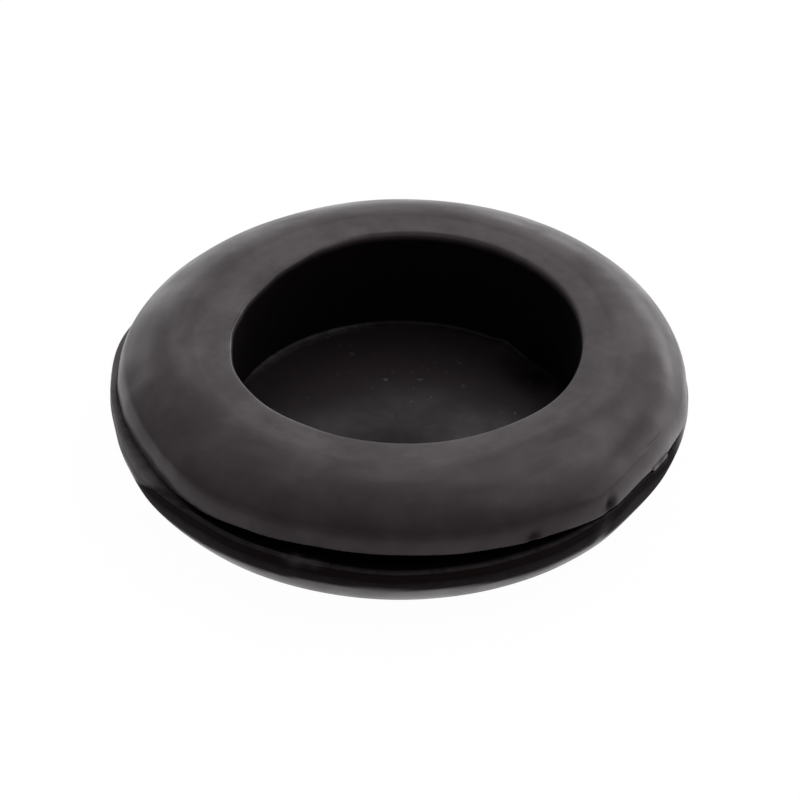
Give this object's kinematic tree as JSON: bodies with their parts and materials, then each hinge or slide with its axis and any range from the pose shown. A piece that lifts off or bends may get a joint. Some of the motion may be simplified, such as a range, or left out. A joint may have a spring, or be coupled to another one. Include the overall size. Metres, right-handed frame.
{
  "type": "closed rubber grommet",
  "caption": "Round closed grommet in black rubber: rounded flanges above and below a panel groove, with a blind recess on top and a flat closed underside.",
  "frame": {"origin": "centre of the flat underside, on the grommet's axis", "axes": "+Z along the axis, out of the mouth of the recess; the part is round, so X and Y are free"},
  "size_m": [0.031, 0.031, 0.0077],
  "materials": {
    "rubber": "black moulded rubber, satin, faintly warm"
  },
  "bodies": {
    "root": {"grommet": "rubber"}
  },
  "joints": []
}
